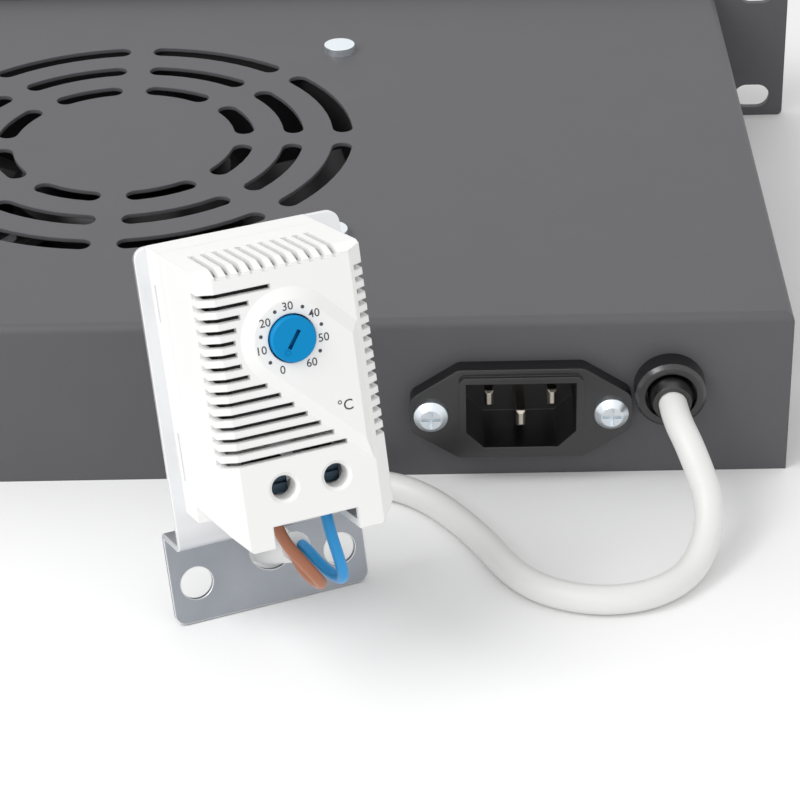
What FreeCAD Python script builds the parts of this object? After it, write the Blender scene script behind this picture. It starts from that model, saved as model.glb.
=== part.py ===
import FreeCAD, Part
import Sketcher
import math
import os

# Nineteen-inch one-unit fan tray with two 120 mm fans, an appliance inlet, a cable gland, and an
# enclosure thermostat on a rack-rail bracket at the end of its own lead.
# X runs along the rack, Y from the wiring side to the front panel, Z up.
# The origin is the middle of the four rack slots, on the panel's outer face.

os.makedirs("parts", exist_ok=True)
doc = FreeCAD.newDocument("rack_fan_tray")
sizes = doc.addObject("Spreadsheet::Sheet", "sizes")

DRIVING_SIZES = [
    # front panel
    ("rack_width", 482.6), ("panel_height", 43.6), ("panel_metal", 2.0),
    ("slot_span", 465.1), ("slot_rise", 31.75), ("slot_high", 7.0), ("slot_long", 10.0),
    # folded tray
    ("tray_width", 440.0), ("tray_depth", 186.0), ("tray_height", 40.0),
    ("tray_metal", 1.0), ("bend_outside", 2.0), ("lid_gap", 0.2), ("lid_tab", 12.0),
    # stamped grille over each fan
    ("grille_inner", 30.1), ("grille_step", 12.2), ("slit", 5.0), ("spoke", 6.0),
    # fans
    ("fan_side", 119.5), ("fan_rim", 2.25), ("fan_bore", "=fan_side - 2 * fan_rim"),
    ("fan_ear", 7.25), ("fan_pitch", "=fan_side - 2 * fan_ear"), ("fan_flange", 4.0), ("fan_wall", 2.2),
    ("fans_from_end", 230.0), ("fan_middle", "=tray_width / 2 - fans_from_end"),
    ("fan_spread", 75.0), ("fan_inset", 93.0), ("fan_base", 3.0),
    ("tube_outer", 18.0), ("tube_inner", 13.0), ("bearing_high", 5.0), ("shaft_dia", 4.0),
    ("running_gap", 0.05), ("air_gap", 1.0), ("stator_dia", 48.0), ("rotor_metal", 2.0),
    ("hub_wall", 2.0), ("hub_high", 28.0), ("blade_tip_gap", 1.8), ("blade_thick", 1.8),
    # fasteners
    ("m4", 4.0), ("m3", 3.0), ("thread_gap", 0.05), ("hole_gap", 0.4),
    # appliance inlet
    ("inlet_from_end", 60.0), ("inlet_place", "=tray_width / 2 - inlet_from_end"),
    ("inlet_drop", 21.8), ("inlet_pitch", 40.0),
    ("flange_thick", 4.0), ("collar_rim", 1.5), ("collar_proud", 4.9),
    ("recess_wide", 24.4), ("recess_high", 16.4), ("recess_deep", 16.0), ("recess_corner", 4.0),
    ("pin_pitch", 14.0), ("pin_offset", 4.0), ("pin_wide", 2.0), ("pin_high", 4.0),
    # gland and the lead through it
    ("gland_from_end", 27.0), ("gland_place", "=tray_width / 2 - gland_from_end"),
    ("gland_drop", 17.2), ("gland_ring", 15.8), ("gland_proud", 5.5),
    ("lead_dia", 6.3), ("core_dia", 2.4), ("grip", 0.05),
    # thermostat bracket
    ("plate_wide", 43.0), ("plate_metal", 1.2), ("plate_top", 59.7), ("plate_drop", 3.8),
    ("foot_drop", 23.5), ("foot_back", 12.7), ("plate_offset", 2.3),
    ("rail_pitch", 31.75), ("rail_hole", 7.0), ("rail_hole_up", 8.4), ("rail_web", 35.0),
    ("bracket_yaw", 21.98), ("bracket_lean", 16.45),
    ("bracket_from_end", 113.7), ("bracket_x", "=tray_width / 2 - bracket_from_end"),
    ("bracket_behind", 55.4), ("bracket_y", "=-panel_metal - tray_depth - bracket_behind"),
    # thermostat
    ("stat_wide", 33.0), ("stat_foot", 4.5), ("stat_top", 60.0), ("stat_deep", 34.5),
    ("base_deep", 9.0), ("stat_wall", 1.6), ("vent", 1.0), ("vent_pitch", 2.34),
    ("knob_dia", 8.9), ("knob_up", 44.8), ("knob_proud", 2.4), ("knob_gap", 0.3),
    ("dial_outer", 10.2), ("dial_inner", 7.4), ("dial_rise", 1.1),
    ("screw_spread", 10.6), ("screw_up", 16.0), ("screw_hole", 4.8),
]
for row, (alias, value) in enumerate(DRIVING_SIZES, start=1):
    sizes.set("A%d" % row, alias)
    sizes.set("B%d" % row, str(value))
    sizes.setAlias("B%d" % row, alias)
doc.recompute()

pieces = []


def size(alias):
    """The present value of one driving size."""
    return float(getattr(sizes, alias))


def rule(text):
    """A sum of driving sizes as an expression, with the sheet's name before each alias."""
    words = []
    word = ""
    for mark in str(text) + " ":
        if mark.isalnum() or mark in "_.":
            word += mark
            continue
        if word and word[0].isalpha() and word not in ("sin", "cos", "tan", "asin", "sqrt", "deg"):
            word = "sizes." + word
        words.append(word + mark)
        word = ""
    return "".join(words).strip()


def bind(thing, **rules):
    """Binds plain properties of an object to sums of driving sizes."""
    for name, text in rules.items():
        thing.setExpression(name, rule(text))


def place(thing, x, y, z):
    """Binds where a primitive starts."""
    for axis, text in (("x", x), ("y", y), ("z", z)):
        thing.setExpression("Placement.Base." + axis, rule(text))


def block(corner, extent):
    """A box from its lowest corner and its three sides."""
    thing = doc.addObject("Part::Box", "block")
    bind(thing, Length=extent[0], Width=extent[1], Height=extent[2])
    place(thing, *corner)
    return thing


TURNS = {
    "X": FreeCAD.Rotation(FreeCAD.Vector(0, 1, 0), 90),
    "Y": FreeCAD.Rotation(FreeCAD.Vector(1, 0, 0), -90),
    "Z": FreeCAD.Rotation(),
    "-Y": FreeCAD.Rotation(FreeCAD.Vector(1, 0, 0), 90),
    "-X": FreeCAD.Rotation(FreeCAD.Vector(0, 1, 0), -90),
    "-Z": FreeCAD.Rotation(FreeCAD.Vector(1, 0, 0), 180),
}


def rod(start, axis, radius, length):
    """A round bar from the centre of its first end along one axis."""
    thing = doc.addObject("Part::Cylinder", "rod")
    thing.Placement.Rotation = TURNS[axis]
    bind(thing, Radius=radius, Height=length)
    place(thing, *start)
    return thing


def cone(start, axis, first, last, length):
    """A round taper from the centre of its first end along one axis."""
    thing = doc.addObject("Part::Cone", "cone")
    thing.Placement.Rotation = TURNS[axis]
    bind(thing, Radius1=first, Radius2=last, Height=length)
    place(thing, *start)
    return thing


def prism(start, axis, across_flats, length):
    """A hexagonal bar, as a nut is cut from."""
    thing = doc.addObject("Part::Prism", "prism")
    thing.Polygon = 6
    thing.Placement.Rotation = TURNS[axis]
    bind(thing, Circumradius="(%s) / 2 / cos(30)" % across_flats, Height=length)
    place(thing, *start)
    return thing


def join(things):
    """Several things as one."""
    if len(things) == 1:
        return things[0]
    thing = doc.addObject("Part::MultiFuse", "join")
    thing.Shapes = things
    return thing


def carve(base, tools):
    """One thing less the others."""
    thing = doc.addObject("Part::Cut", "carve")
    thing.Base = base
    thing.Tool = join(tools)
    return thing


def piece(name, thing, placement=None):
    """Names a finished sub-part, and moves it if it was made away from its place."""
    thing.Label = name
    if placement is not None:
        thing.Placement = placement
    pieces.append(thing)
    return thing


# ---- PartDesign helpers ----

def new_body(name):
    """An empty body."""
    return doc.addObject("PartDesign::Body", name)


def new_sketch(body, role, x="0", y="0", z="0", turn=0.0):
    """A sketch on one of the body's origin planes, moved in that plane's own directions."""
    sketch = body.newObject("Sketcher::SketchObject", "sketch")
    plane = [part for part in body.Origin.OriginFeatures if part.Role == role][0]
    sketch.AttachmentSupport = (plane, [""])
    sketch.MapMode = "FlatFace"
    turned = FreeCAD.Rotation(FreeCAD.Vector(0, 0, 1), turn)
    sketch.AttachmentOffset = FreeCAD.Placement(FreeCAD.Vector(), turned)
    for axis, text in (("x", x), ("y", y), ("z", z)):
        sketch.setExpression("AttachmentOffset.Base." + axis, rule(text))
    return sketch


def bind_last(sketch, text):
    """Binds the newest constraint of a sketch."""
    sketch.setExpression("Constraints[%d]" % (sketch.ConstraintCount - 1), rule(text))


def draw_polygon(sketch, corners):
    """A closed outline through corners given as pairs of sums."""
    count = len(corners)
    first = sketch.GeometryCount
    ring = []
    for k in range(count):
        angle = 2 * math.pi * k / count
        ring.append(FreeCAD.Vector(10 * math.cos(angle), 10 * math.sin(angle), 0))
    for k in range(count):
        sketch.addGeometry(Part.LineSegment(ring[k], ring[(k + 1) % count]))
    for k in range(count):
        after = first + (k + 1) % count
        sketch.addConstraint(Sketcher.Constraint("Coincident", first + k, 2, after, 1))
    for k, (x, y) in enumerate(corners):
        sketch.addConstraint(Sketcher.Constraint("DistanceX", -1, 1, first + k, 1, ring[k].x))
        bind_last(sketch, x)
        sketch.addConstraint(Sketcher.Constraint("DistanceY", -1, 1, first + k, 1, ring[k].y))
        bind_last(sketch, y)


def draw_circle(sketch, x, y, diameter):
    """A circle whose centre and diameter are sums."""
    line = sketch.addGeometry(Part.Circle(FreeCAD.Vector(1, 1, 0), FreeCAD.Vector(0, 0, 1), 2))
    sketch.addConstraint(Sketcher.Constraint("DistanceX", -1, 1, line, 3, 1))
    bind_last(sketch, x)
    sketch.addConstraint(Sketcher.Constraint("DistanceY", -1, 1, line, 3, 1))
    bind_last(sketch, y)
    sketch.addConstraint(Sketcher.Constraint("Diameter", line, 4))
    bind_last(sketch, diameter)


def rectangle(x, y, wide, high):
    """Corners of a rectangle about a middle point."""
    left = "(%s) - (%s) / 2" % (x, wide)
    right = "(%s) + (%s) / 2" % (x, wide)
    low = "(%s) - (%s) / 2" % (y, high)
    top = "(%s) + (%s) / 2" % (y, high)
    return [(left, low), (right, low), (right, top), (left, top)]


def pad(body, sketch, length, reverse=False):
    """Adds material along the sketch's normal."""
    feature = body.newObject("PartDesign::Pad", "pad")
    feature.Profile = sketch
    feature.Reversed = reverse
    bind(feature, Length=length)
    body.Tip = feature
    return feature


def pocket(body, sketch, length, reverse=False):
    """Removes material against the sketch's normal, or along it when reversed."""
    feature = body.newObject("PartDesign::Pocket", "pocket")
    feature.Profile = sketch
    feature.Reversed = reverse
    bind(feature, Length=length)
    body.Tip = feature
    return feature


def revolve(body, sketch, kind="PartDesign::Revolution"):
    """Turns the sketch once round its own upright axis."""
    feature = body.newObject(kind, "turning")
    feature.Profile = sketch
    feature.ReferenceAxis = (sketch, ["V_Axis"])
    feature.Angle = 360
    body.Tip = feature
    return feature


def polar(body, feature, sketch, count):
    """Repeats a feature round the sketch's normal."""
    pattern = body.newObject("PartDesign::PolarPattern", "polar")
    pattern.Originals = [feature]
    pattern.Axis = (sketch, ["N_Axis"])
    pattern.Angle = 360
    pattern.Occurrences = count
    body.Tip = pattern
    return pattern


def linear(body, feature, sketch, axis, length, count, reverse=False):
    """Repeats a feature in a row along one of the sketch's axes."""
    pattern = body.newObject("PartDesign::LinearPattern", "row")
    pattern.Originals = [feature]
    pattern.Direction = (sketch, [axis])
    pattern.Reversed = reverse
    bind(pattern, Length=length)
    pattern.Occurrences = count
    body.Tip = pattern
    return pattern


def edges_where(feature, test):
    """Names of the straight edges whose two end points pass a test."""
    names = []
    for number, edge in enumerate(feature.Shape.Edges, start=1):
        if len(edge.Vertexes) == 2 and test(edge.Vertexes[0].Point, edge.Vertexes[1].Point):
            names.append("Edge%d" % number)
    return names


def fillet(body, feature, test, radius):
    """Rounds the edges that pass a test."""
    doc.recompute()
    rounding = body.newObject("PartDesign::Fillet", "fillet")
    rounding.Base = (feature, edges_where(feature, test))
    bind(rounding, Radius=radius)
    body.Tip = rounding
    return rounding


def near(a, b):
    return abs(a - b) < 1e-4


# ---- where things stand, as sums of the driving sizes ----

FLOOR = "(-panel_height / 2)"
TOP = "(tray_height - panel_height / 2)"
REAR = "(-panel_metal - tray_depth)"
FAN_Y = "(fan_inset - panel_metal - tray_depth)"
FAN_LOW = "(tray_metal - panel_height / 2)"
FAN_HIGH = "(tray_height - tray_metal - panel_height / 2)"
INLET_Z = "(tray_height - panel_height / 2 - inlet_drop)"
GLAND_Z = "(tray_height - panel_height / 2 - gland_drop)"
SIDES = (("right", 1), ("left", -1))

PANEL_SCREWS = [(x, z) for x in (-150, 150) for z in (-12, 12)]
LID_SCREWS = [(side, y) for side in (1, -1) for y in (-150, -95, -40)]

# ---- chassis: one folded sheet, top and four walls ----

chassis = new_body("chassis_body")
outline = new_sketch(chassis, "XY_Plane", z=FLOOR)
draw_polygon(outline, rectangle("0", REAR + " / 2 - panel_metal / 2", "tray_width", "tray_depth"))
shell = pad(chassis, outline, "tray_height")
tray_top = size("tray_height") - size("panel_height") / 2
folds = fillet(chassis, shell, lambda a, b: near(a.z, tray_top) and near(b.z, tray_top), "bend_outside")
doc.recompute()
open_face = [
    "Face%d" % number
    for number, face in enumerate(folds.Shape.Faces, start=1)
    if near(face.CenterOfMass.z, -size("panel_height") / 2)
]
hollow = chassis.newObject("PartDesign::Thickness", "hollow")
hollow.Base = (folds, open_face)
hollow.Reversed = True
hollow.Join = 0
bind(hollow, Value="tray_metal")
chassis.Tip = hollow


def draw_arc_slit(sketch, radius):
    """One curved slit between two spokes, with round ends, centred on the sketch's X axis."""
    half = size("slit") / 2
    middle = size("grille_inner") + radius * size("grille_step")
    ring = "(grille_inner + %d * grille_step)" % radius
    reach = math.radians(22.5) - math.asin((size("spoke") / 2 + half) / middle)
    rise = "%s * sin(22.5 deg - asin((spoke + slit) / 2 / %s))" % (ring, ring)
    centre = FreeCAD.Vector(0, 0, 0)
    up = FreeCAD.Vector(0, 0, 1)

    def arc(at, distance, start, stop):
        circle = Part.Circle(at, up, distance)
        return sketch.addGeometry(Part.ArcOfCircle(circle, start, stop))

    high = FreeCAD.Vector(middle * math.cos(reach), middle * math.sin(reach), 0)
    low = FreeCAD.Vector(high.x, -high.y, 0)
    outer = arc(centre, middle + half, -reach, reach)
    inner = arc(centre, middle - half, -reach, reach)
    upper = arc(high, half, reach, reach + math.pi)
    lower = arc(low, half, -reach - math.pi, -reach)
    for line in (outer, inner):
        sketch.addConstraint(Sketcher.Constraint("Coincident", line, 3, -1, 1))
    sketch.addConstraint(Sketcher.Constraint("Radius", outer, middle + half))
    bind_last(sketch, ring + " + slit / 2")
    sketch.addConstraint(Sketcher.Constraint("Radius", inner, middle - half))
    bind_last(sketch, ring + " - slit / 2")
    sketch.addConstraint(Sketcher.Constraint("Tangent", outer, 2, upper, 1))
    sketch.addConstraint(Sketcher.Constraint("Tangent", upper, 2, inner, 2))
    sketch.addConstraint(Sketcher.Constraint("Tangent", inner, 1, lower, 1))
    sketch.addConstraint(Sketcher.Constraint("Tangent", lower, 2, outer, 1))
    sketch.addConstraint(Sketcher.Constraint("DistanceY", -1, 1, upper, 3, high.y))
    bind_last(sketch, rise)
    sketch.addConstraint(Sketcher.Constraint("DistanceY", lower, 3, -1, 1, high.y))
    bind_last(sketch, rise)


def draw_square_slit(sketch, radius):
    """One straight-ended slit of the plainer underside, a chord wide enough to clear the spokes."""
    ring = "(grille_inner + %d * grille_step)" % radius
    reach = "(%s * tan(22.5 deg) - spoke / 2)" % ring
    bow = "slit * 0.3"
    draw_polygon(sketch, [
        (ring + " - slit / 2", "-" + reach), (ring + " + slit / 2 - " + bow, "-" + reach),
        (ring + " + slit / 2", "0 - %s / 2" % reach), (ring + " + slit / 2", reach + " / 2"),
        (ring + " + slit / 2 - " + bow, reach), (ring + " - slit / 2", reach),
    ])


def stamp_grilles(body, surface, draw_slit):
    """Three rings of eight slits over each fan, cut down from a surface."""
    for name, side in SIDES:
        x = "fan_middle + %d * fan_spread" % side
        slits = new_sketch(body, "XY_Plane", x, FAN_Y, surface, turn=22.5)
        for ring in range(3):
            draw_slit(slits, ring)
        cut = pocket(body, slits, "tray_metal * 2")
        polar(body, cut, slits, 8)


def drill(body, role, surface, holes, depth, reverse=False):
    """Round holes given as middle and diameter, cut from a surface parallel to a plane."""
    sketch = new_sketch(body, role, z=surface)
    for x, y, diameter in holes:
        draw_circle(sketch, x, y, diameter)
    return pocket(body, sketch, depth, reverse)


stamp_grilles(chassis, TOP, draw_arc_slit)
fan_holes = [
    ("fan_middle + %d * fan_spread + %d * fan_pitch / 2" % (side, right),
     FAN_Y + " + %d * fan_pitch / 2" % back, "m4 + hole_gap")
    for name, side in SIDES for right in (-1, 1) for back in (-1, 1)
]
drill(chassis, "XY_Plane", TOP, fan_holes, "tray_metal * 2")
wall_holes = [
    ("inlet_place - inlet_pitch / 2", INLET_Z, "m3 + hole_gap"),
    ("inlet_place + inlet_pitch / 2", INLET_Z, "m3 + hole_gap"),
    ("gland_place", GLAND_Z, "12.6"),
]
drill(chassis, "XZ_Plane", "tray_depth + panel_metal", wall_holes, "tray_metal * 2")
inlet_cut = new_sketch(chassis, "XZ_Plane", z="tray_depth + panel_metal")
draw_polygon(inlet_cut, rectangle("inlet_place", INLET_Z, "recess_wide + 3.4", "recess_high + 3.4"))
pocket(chassis, inlet_cut, "tray_metal * 2")
drill(chassis, "XZ_Plane", "panel_metal",
      [(str(x), "(%s + %s) / 2 + %d" % (FLOOR, TOP, z), "m4 + hole_gap") for x, z in PANEL_SCREWS],
      "tray_metal * 2", True)
for side in (1, -1):
    drill(chassis, "YZ_Plane", "%d * tray_width / 2" % side,
          [(str(y), FLOOR + " + lid_tab * 0.6", "m3 + hole_gap") for s, y in LID_SCREWS if s == side],
          "tray_metal * 2", side < 0)
piece("chassis", chassis)

# ---- bottom lid: a sheet inside the walls, with a tab up each side and three weld studs ----

lid = new_body("lid_body")
lid_sheet = new_sketch(lid, "XY_Plane", z=FLOOR)
lid_wide = "tray_width - 2 * tray_metal - 2 * lid_gap"
lid_long = "tray_depth - 2 * tray_metal - 2 * lid_gap"
draw_polygon(lid_sheet, rectangle("0", REAR + " / 2 - panel_metal / 2", lid_wide, lid_long))
pad(lid, lid_sheet, "tray_metal")
for side in (1, -1):
    tab = new_sketch(lid, "XY_Plane", z=FLOOR)
    middle = "%d * (tray_width / 2 - 1.5 * tray_metal - lid_gap)" % side
    draw_polygon(tab, rectangle(middle, REAR + " / 2 - panel_metal / 2", "tray_metal", lid_long))
    pad(lid, tab, "lid_tab")
stamp_grilles(lid, FLOOR + " + tray_metal", draw_square_slit)
for side in (1, -1):
    drill(lid, "YZ_Plane", "%d * (tray_width / 2 - tray_metal - lid_gap)" % side,
          [(str(y), FLOOR + " + lid_tab * 0.6", "m3 + hole_gap") for s, y in LID_SCREWS if s == side],
          "tray_metal * 2", side < 0)
BLOCK_X = "(inlet_place + 8)"
BLOCK_Y = "(%s + 74)" % REAR
BLOCK_STUDS = [(BLOCK_X + " - 10", BLOCK_Y), (BLOCK_X + " + 10", BLOCK_Y)]
EARTH_STUD = ("(inlet_place - 22)", "(%s + 34)" % REAR)
studs = new_sketch(lid, "XY_Plane", z=FAN_LOW)
for x, y in BLOCK_STUDS:
    draw_circle(studs, x, y, "m3")
pad(lid, studs, "14")
earth = new_sketch(lid, "XY_Plane", z=FAN_LOW)
draw_circle(earth, EARTH_STUD[0], EARTH_STUD[1], "m4")
pad(lid, earth, "9")
piece("bottom_lid", lid)

# ---- front panel: flat plate with four open rack slots ----

panel = new_body("panel_body")
plate = new_sketch(panel, "XZ_Plane")
draw_polygon(plate, rectangle("0", "0", "rack_width", "panel_height"))
sheet = pad(panel, plate, "panel_metal")


def across_plate(a, b):
    return near(a.x, b.x) and near(a.z, b.z)


fillet(panel, sheet, across_plate, "1.5")
for x in (-1, 1):
    for z in (-1, 1):
        slot = new_sketch(panel, "XZ_Plane")
        for end in (-1, 1):
            draw_circle(slot, "%d * slot_span / 2 + %d * (slot_long - slot_high) / 2" % (x, end),
                        "%d * slot_rise / 2" % z, "slot_high")
            pocket(panel, slot, "panel_metal", True)
            slot = new_sketch(panel, "XZ_Plane")
        draw_polygon(slot, rectangle("%d * slot_span / 2" % x, "%d * slot_rise / 2" % z,
                                     "slot_long - slot_high", "slot_high"))
        pocket(panel, slot, "panel_metal", True)
panel_holes = [
    (str(x), "(%s + %s) / 2 + %d" % (FLOOR, TOP, z), "m4 + hole_gap") for x, z in PANEL_SCREWS
]
drill(panel, "XZ_Plane", "0", panel_holes, "panel_metal", True)
sinks = [
    cone((x, "0", z), "-Y", "m4 + hole_gap / 2", "m4 / 2 + hole_gap / 2", "m4 / 2")
    for x, z, diameter in panel_holes
]
piece("front_panel", carve(panel, sinks))

panel_screws = []
panel_nuts = []
for x, z, diameter in panel_holes:
    head = cone((x, "0", z), "-Y", "m4", "m4 / 2", "m4 / 2")
    shank = rod((x, "0", z), "-Y", "m4 / 2", "m4 / 2 + panel_metal + tray_metal + 3.5")
    panel_screws.append(join([head, shank]))
    nut = rod((x, "-panel_metal - tray_metal", z), "-Y", "m4", "3")
    bore = rod((x, "-panel_metal - tray_metal", z), "-Y", "m4 / 2 + thread_gap", "3")
    panel_nuts.append(carve(nut, [bore]))
piece("panel_screws", join(panel_screws))
piece("panel_nuts", join(panel_nuts))

lid_screws = []
lid_nuts = []
for side, y in LID_SCREWS:
    out = "X" if side > 0 else "-X"
    back = "-X" if side > 0 else "X"
    wall = "%d * tray_width / 2" % side
    tab_in = "%d * (tray_width / 2 - 2 * tray_metal - lid_gap)" % side
    z = FLOOR + " + lid_tab * 0.6"
    head = rod((wall, str(y), z), out, "m3", "1.8")
    shank = rod((wall, str(y), z), back, "m3 / 2", "6")
    lid_screws.append(join([head, shank]))
    nut = rod((tab_in, str(y), z), back, "m3", "1.8")
    bore = rod((tab_in, str(y), z), back, "m3 / 2 + thread_gap", "1.8")
    lid_nuts.append(carve(nut, [bore]))
piece("lid_screws", join(lid_screws))
piece("lid_nuts", join(lid_nuts))

# ---- fans: cast frame, shaded-pole motor on a bearing tube, five-blade impeller ----


def build_fan(name, side):
    """One fan, centred on its own axis, with the base struts underneath."""
    axis_x = "fan_middle + %d * fan_spread" % side
    deep = "(tray_height - 2 * tray_metal)"

    frame = new_body("frame_body")
    square = new_sketch(frame, "XY_Plane", axis_x, FAN_Y, FAN_LOW)
    draw_polygon(square, rectangle("0", "0", "fan_side", "fan_side"))
    casting = pad(frame, square, deep)
    fillet(frame, casting, lambda a, b: near(a.x, b.x) and near(a.y, b.y), "6")
    throat = new_sketch(frame, "XY_Plane", axis_x, FAN_Y, FAN_HIGH)
    draw_circle(throat, "0", "0", "fan_bore")
    pocket(frame, throat, deep)
    waist = new_sketch(frame, "XZ_Plane", axis_x, FAN_LOW, "-" + FAN_Y)
    draw_polygon(waist, [
        ("fan_bore / 2 + fan_wall", "fan_flange"), ("fan_side", "fan_flange"),
        ("fan_side", deep + " - fan_flange"), ("fan_bore / 2 + fan_wall", deep + " - fan_flange"),
    ])
    revolve(frame, waist, "PartDesign::Groove")
    ears = new_sketch(frame, "XY_Plane", axis_x, FAN_Y, FAN_HIGH)
    for right in (-1, 1):
        for up in (-1, 1):
            draw_circle(ears, "%d * fan_pitch / 2" % right, "%d * fan_pitch / 2" % up, "m4 + hole_gap")
    pocket(frame, ears, deep)
    for turn in (45.0, 135.0):
        strut = new_sketch(frame, "XY_Plane", axis_x, FAN_Y, FAN_LOW, turn=turn)
        draw_polygon(strut, rectangle("0", "0", "fan_bore + fan_wall", "5"))
        pad(frame, strut, "fan_base")
    seat = new_sketch(frame, "XY_Plane", axis_x, FAN_Y, FAN_LOW)
    draw_circle(seat, "0", "0", "stator_dia + 10")
    pad(frame, seat, "fan_base")
    tube = new_sketch(frame, "XY_Plane", axis_x, FAN_Y, FAN_LOW)
    draw_circle(tube, "0", "0", "tube_outer")
    pad(frame, tube, "fan_base + 22")
    bore = new_sketch(frame, "XY_Plane", axis_x, FAN_Y, FAN_LOW + " + fan_base + 22")
    draw_circle(bore, "0", "0", "tube_inner")
    pocket(frame, bore, "22")
    piece("fan_frame_" + name, frame)

    shelf = FAN_LOW + " + fan_base"

    def ring(low, high, inner, outer):
        solid = rod((axis_x, FAN_Y, low), "Z", outer, high)
        hole = rod((axis_x, FAN_Y, low), "Z", inner, high)
        return carve(solid, [hole])

    bearing = ("shaft_dia / 2 + running_gap", "tube_inner / 2")
    piece("bearing_lower_" + name, ring(shelf + " + 1", "bearing_high", *bearing))
    piece("bearing_upper_" + name, ring(shelf + " + 22 - bearing_high", "bearing_high", *bearing))
    piece("stator_core_" + name, ring(shelf + " + 6", "10", "tube_outer / 2", "stator_dia / 2"))
    coils = [
        ring(shelf + " + 2", "4", "tube_outer / 2 + 2", "stator_dia / 2 - 2"),
        ring(shelf + " + 16", "4", "tube_outer / 2 + 2", "stator_dia / 2 - 2"),
    ]
    piece("stator_coils_" + name, join(coils))

    cup_inner = "stator_dia / 2 + air_gap"
    cup_outer = "stator_dia / 2 + air_gap + rotor_metal"
    cup_low = shelf + " + 3"
    cup_high = "21.5"
    cup = ring(cup_low, cup_high, cup_inner, cup_outer)
    crown = ring(cup_low + " + " + cup_high, "rotor_metal", "shaft_dia / 2", cup_outer)
    piece("rotor_cup_" + name, join([cup, crown]))
    shaft_low = shelf + " + 0.5"
    piece("fan_shaft_" + name,
          rod((axis_x, FAN_Y, shaft_low), "Z", "shaft_dia / 2", "2.5 + 21.5 + rotor_metal"))

    wheel = new_body("wheel_body")
    hub = new_sketch(wheel, "XZ_Plane", axis_x, cup_low, "-" + FAN_Y)
    hub_outer = cup_outer + " + hub_wall"
    hub_top = "21.5 + rotor_metal + hub_wall"
    draw_polygon(hub, [
        (cup_outer, "0"), (hub_outer, "0"), (hub_outer, hub_top + " - 3"),
        (hub_outer + " - 3", hub_top), ("0.01", hub_top), ("0.01", "21.5 + rotor_metal"),
        (cup_outer, "21.5 + rotor_metal"),
    ])
    revolve(wheel, hub)
    root = new_sketch(wheel, "YZ_Plane", FAN_Y, cup_low + " + hub_high / 2 - 1.5",
                      axis_x + " + stator_dia / 2 + air_gap + rotor_metal + hub_wall / 2", turn=38)
    draw_polygon(root, [
        ("-11", "-blade_thick / 2"), ("0", "1.6 - blade_thick / 2"), ("11", "-blade_thick / 2"),
        ("11", "blade_thick / 2"), ("0", "1.6 + blade_thick / 2"), ("-11", "blade_thick / 2"),
    ])
    tip = new_sketch(wheel, "YZ_Plane", FAN_Y, cup_low + " + hub_high / 2 - 1.5",
                     axis_x + " + fan_bore / 2 + 2", turn=26)
    draw_polygon(tip, [
        ("-21", "-blade_thick / 2"), ("0", "3.4 - blade_thick / 2"), ("21", "-blade_thick / 2"),
        ("21", "blade_thick / 2"), ("0", "3.4 + blade_thick / 2"), ("-21", "blade_thick / 2"),
    ])
    blade = wheel.newObject("PartDesign::AdditiveLoft", "blade")
    blade.Profile = root
    blade.Sections = [tip]
    blade.Ruled = True
    wheel.Tip = blade
    centre = new_sketch(wheel, "XY_Plane", axis_x, FAN_Y, FAN_LOW)
    draw_circle(centre, "0", "0", "1")
    polar(wheel, blade, centre, 5)
    rim = new_sketch(wheel, "XZ_Plane", axis_x, FAN_LOW, "-" + FAN_Y)
    draw_polygon(rim, [
        ("fan_bore / 2 - blade_tip_gap", "-10"), ("fan_bore", "-10"),
        ("fan_bore", "tray_height"), ("fan_bore / 2 - blade_tip_gap", "tray_height"),
    ])
    revolve(wheel, rim, "PartDesign::Groove")
    piece("impeller_" + name, wheel)

    screws = []
    nuts = []
    for right in (-1, 1):
        for up in (-1, 1):
            x = axis_x + " + %d * fan_pitch / 2" % right
            y = FAN_Y + " + %d * fan_pitch / 2" % up
            head = rod((x, y, TOP), "Z", "m4", "2")
            shank = rod((x, y, TOP), "-Z", "m4 / 2", "tray_metal + fan_flange + 5")
            screws.append(join([head, shank]))
            under = TOP + " - tray_metal - fan_flange"
            nut = prism((x, y, under), "-Z", "7", "3.2")
            nut_bore = rod((x, y, under), "-Z", "m4 / 2 + thread_gap", "3.2")
            nuts.append(carve(nut, [nut_bore]))
    piece("fan_screws_" + name, join(screws))
    piece("fan_nuts_" + name, join(nuts))


for fan_name, fan_side in SIDES:
    build_fan(fan_name, fan_side)

# ---- appliance inlet ----

inlet = new_body("inlet_body")
INLET_BACK = "tray_depth + panel_metal"
wings = new_sketch(inlet, "XZ_Plane", "inlet_place", INLET_Z, INLET_BACK)
half_top = "recess_wide / 2 + 1.6"
half_high = "recess_high / 2 + 3.1"
wing_tip = "inlet_pitch / 2 + 4.6"
draw_polygon(wings, [
    ("-(%s)" % half_top, half_high), ("-(%s)" % wing_tip, "4.2"), ("-(%s)" % wing_tip, "-4.2"),
    ("-(%s)" % half_top, "-(%s)" % half_high), (half_top, "-(%s)" % half_high),
    (wing_tip, "-4.2"), (wing_tip, "4.2"), (half_top, half_high),
])
flange = pad(inlet, wings, "flange_thick")
fillet(inlet, flange, lambda a, b: near(a.x, b.x) and near(a.z, b.z), "3")
collar = new_sketch(inlet, "XZ_Plane", "inlet_place", INLET_Z, INLET_BACK)
rim_wide = "(recess_wide / 2 + collar_rim)"
rim_high = "(recess_high / 2 + collar_rim)"
rim_corner = "(recess_corner + collar_rim * 0.6)"
draw_polygon(collar, [
    ("1 - " + rim_wide, rim_high), ("0 - " + rim_wide, rim_high + " - 1"),
    ("0 - " + rim_wide, rim_corner + " - " + rim_high),
    (rim_corner + " - " + rim_wide, "0 - " + rim_high),
    (rim_wide + " - " + rim_corner, "0 - " + rim_high),
    (rim_wide, rim_corner + " - " + rim_high),
    (rim_wide, rim_high + " - 1"), (rim_wide + " - 1", rim_high),
])
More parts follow.
